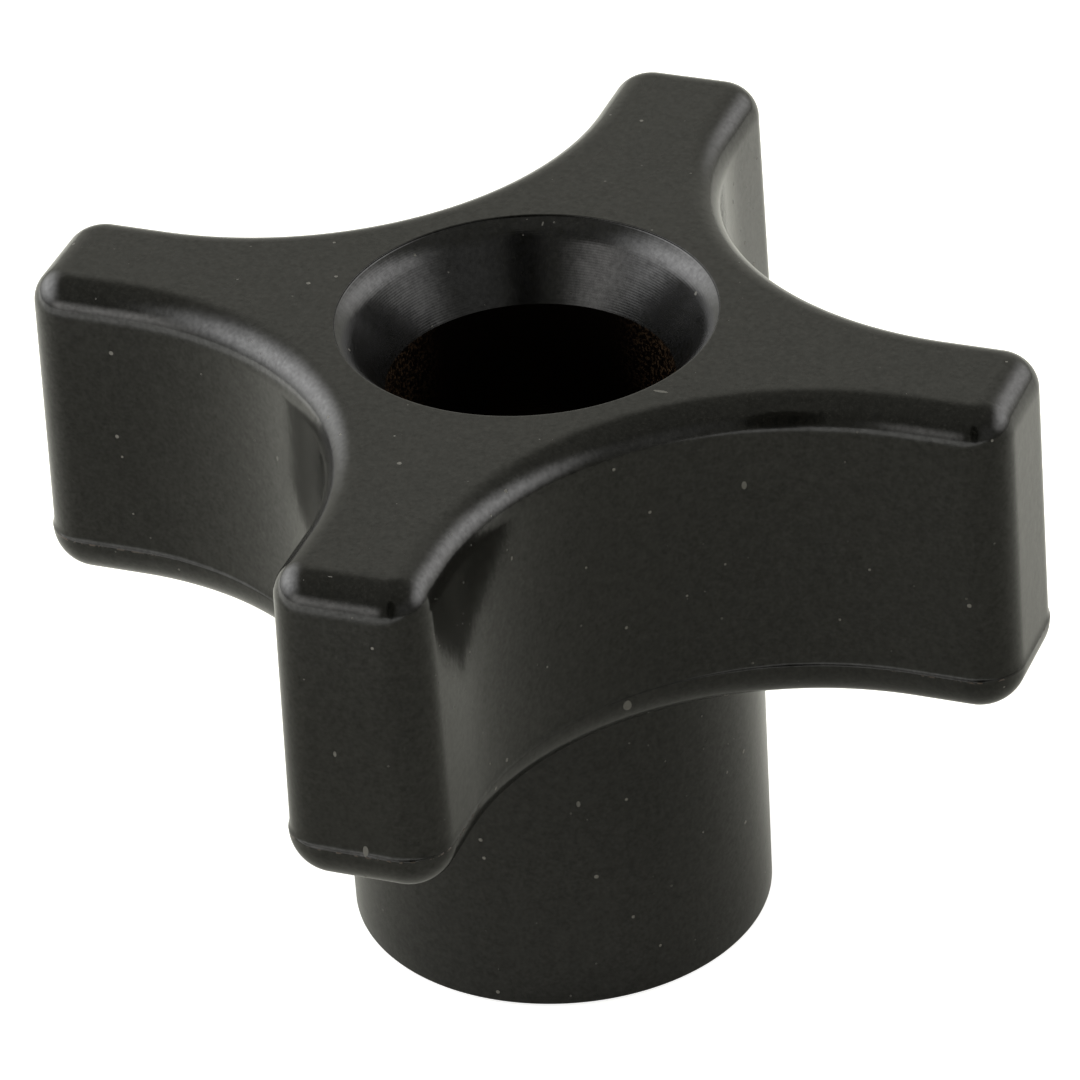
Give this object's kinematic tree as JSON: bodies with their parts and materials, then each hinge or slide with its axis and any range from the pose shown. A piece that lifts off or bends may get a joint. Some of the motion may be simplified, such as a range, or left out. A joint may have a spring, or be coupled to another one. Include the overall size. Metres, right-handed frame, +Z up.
{
  "type": "four-arm clamping knob nut",
  "caption": "Moulded four-arm hand knob with a plain round hub, a funnel mouth and a tapped metal bush, for tightening onto a threaded stud by hand.",
  "frame": {"origin": "centre of the bush's end face, where the nut bears on what it clamps", "axes": "+Z up along the thread axis, towards the funnel mouth; the arms lie along +X, +Y, -X and -Y"},
  "size_m": [0.0632, 0.0632, 0.042],
  "materials": {
    "black_moulding": "semi-gloss moulded thermoset, slightly worn",
    "bush_metal": "machined, slightly dull"
  },
  "bodies": {
    "root": {"knob_body": "black_moulding", "threaded_insert": "bush_metal"}
  },
  "joints": []
}
